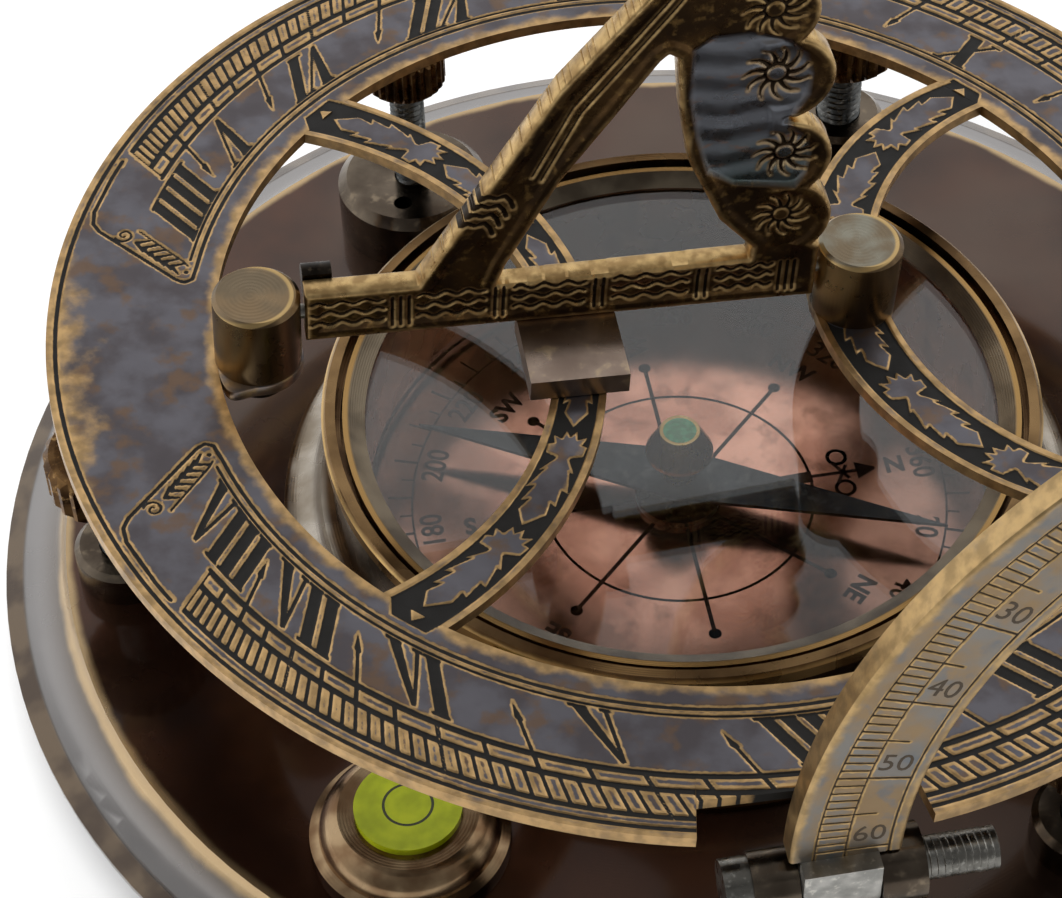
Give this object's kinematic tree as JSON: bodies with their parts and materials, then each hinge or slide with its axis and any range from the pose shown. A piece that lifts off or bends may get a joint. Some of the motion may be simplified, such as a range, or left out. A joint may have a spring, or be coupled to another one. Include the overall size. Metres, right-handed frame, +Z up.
{
  "type": "pocket sundial with compass",
  "caption": "Brass pocket sundial: a hinged hour ring with a folding gnomon, a latitude arc, a compass and a bull's-eye level on a round base with levelling screws.",
  "frame": {"origin": "on the table, below the middle of the round base plate", "axes": "+Z up, +X towards the ring's hinge (dial north), +Y dial west"},
  "size_m": [0.14, 0.14, 0.0884],
  "materials": {
    "base_bronze": "dark polished antique bronze, worn bright on the moulding",
    "dark_bronze": "blackened bronze",
    "steel": "plain turned steel",
    "stud_steel": "oily rolled thread",
    "knob_bronze": "knurled, antique bronze, rubbed on the teeth",
    "case_brass": "turned and lacquered antique brass",
    "card_copper": "polished copper colour, engraved and blackened",
    "clear_glass": "clear polished",
    "needle_blue": "blued steel",
    "cap_brass": "turned bright brass",
    "jewel_green": "polished green stone",
    "ring_slate": "etched, slate patina with rubbed gold edges",
    "post_brass": "turned antique brass",
    "black_steel": "blackened",
    "gnomon_brass": "cast, engraved, antique brass",
    "hub_silver": "worn nickelled brass",
    "arc_slate": "etched brass with blue-gray patina",
    "level_brass": "polished brass dome",
    "level_cream": "moulded vial cup",
    "level_green": "yellow-green spirit",
    "level_air": "air bubble"
  },
  "bodies": {
    "base": {"base_plate": "base_bronze", "case_screws": "steel", "bracket_screws": "steel", "fork_screws": "steel", "lev_bush_south": "dark_bronze", "lev_bush_west": "dark_bronze", "lev_bush_east": "dark_bronze", "rest_bush": "dark_bronze", "compass_case": "case_brass", "compass_bezel": "case_brass", "snap_ring": "case_brass", "compass_glass": "clear_glass", "compass_card": "card_copper", "card_boss": "case_brass", "pivot_pin": "steel", "hinge_bracket": "dark_bronze", "hinge_pin": "steel", "arc_fork": "dark_bronze", "arc_bolt": "steel", "level_housing": "level_brass", "level_cup": "level_cream", "level_liquid": "level_green", "level_bubble": "level_air", "level_lens": "clear_glass"},
    "dial_ring": {"ring_knuckle": "dark_bronze", "ring_rivets": "ring_slate", "hour_ring": "ring_slate", "south_post": "post_brass", "north_post": "post_brass", "post_nuts": "black_steel", "gnomon_pins": "steel"},
    "gnomon_leaf": {"gnomon": "gnomon_brass", "gnomon_foot": "gnomon_brass", "gnomon_collar": "black_steel"},
    "compass_needle": {"needle": "needle_blue", "needle_cap": "cap_brass", "cap_jewel": "jewel_green"},
    "arc_leaf": {"arc_hub": "hub_silver", "latitude_arc": "arc_slate"},
    "rest_lift": {"rest_stud": "stud_steel"},
    "rest_turn": {"rest_knob": "knob_bronze"},
    "lev_south_lift": {"lev_stud_south": "stud_steel"},
    "lev_south_turn": {"lev_knob_south": "knob_bronze"},
    "lev_west_lift": {"lev_stud_west": "stud_steel"},
    "lev_west_turn": {"lev_knob_west": "knob_bronze"},
    "lev_east_lift": {"lev_stud_east": "stud_steel"},
    "lev_east_turn": {"lev_knob_east": "knob_bronze"}
  },
  "joints": [
    {"name": "ring_tilt", "type": "hinge", "parent": "base", "child": "dial_ring", "pos_m": [0.0595, 0, 0.0283], "axis": [0, 1, 0], "range_deg": [0, 56.5]},
    {"name": "gnomon_fold", "type": "hinge", "parent": "dial_ring", "child": "gnomon_leaf", "pos_m": [0.00059, 0, 0.03982], "axis": [-0.9981, 0, 0.061], "range_deg": [0, 90]},
    {"name": "arc_fold", "type": "hinge", "parent": "base", "child": "arc_leaf", "pos_m": [0, -0.0598, 0.026], "axis": [1, 0, 0], "range_deg": [0, 90]},
    {"name": "needle_swing", "type": "hinge", "parent": "base", "child": "compass_needle", "pos_m": [0, 0, 0.0104], "axis": [0, 0, 1], "continuous": true},
    {"name": "lev_south_lift", "type": "slide", "parent": "base", "child": "lev_south_lift", "axis": [0, 0, 1], "range_m": [-0.004, 0.0024]},
    {"name": "lev_south_turn", "type": "hinge", "parent": "lev_south_lift", "child": "lev_south_turn", "pos_m": [-0.057, 0, 0.02], "axis": [0, 0, 1], "range_deg": [-1805, 1085]},
    {"name": "lev_west_lift", "type": "slide", "parent": "base", "child": "lev_west_lift", "axis": [0, 0, 1], "range_m": [-0.004, 0.0024]},
    {"name": "lev_west_turn", "type": "hinge", "parent": "lev_west_lift", "child": "lev_west_turn", "pos_m": [0.0285, 0.04936, 0.02], "axis": [0, 0, 1], "range_deg": [-1805, 1085]},
    {"name": "lev_east_lift", "type": "slide", "parent": "base", "child": "lev_east_lift", "axis": [0, 0, 1], "range_m": [-0.004, 0.0024]},
    {"name": "lev_east_turn", "type": "hinge", "parent": "lev_east_lift", "child": "lev_east_turn", "pos_m": [0.0285, -0.04936, 0.02], "axis": [0, 0, 1], "range_deg": [-1805, 1085]},
    {"name": "rest_lift", "type": "slide", "parent": "base", "child": "rest_lift", "axis": [0, 0, 1], "range_m": [-0.0035, 0]},
    {"name": "rest_turn", "type": "hinge", "parent": "rest_lift", "child": "rest_turn", "pos_m": [-0.0212, 0.0455, 0.02], "axis": [0, 0, 1], "range_deg": [-1805, 0]}
  ],
  "couplings": [
    {"joint": "lev_south_turn", "follows": "lev_south_lift", "rad_per_m": 7854},
    {"joint": "lev_west_turn", "follows": "lev_west_lift", "rad_per_m": 7854},
    {"joint": "lev_east_turn", "follows": "lev_east_lift", "rad_per_m": 7854},
    {"joint": "rest_turn", "follows": "rest_lift", "rad_per_m": 8976}
  ]
}
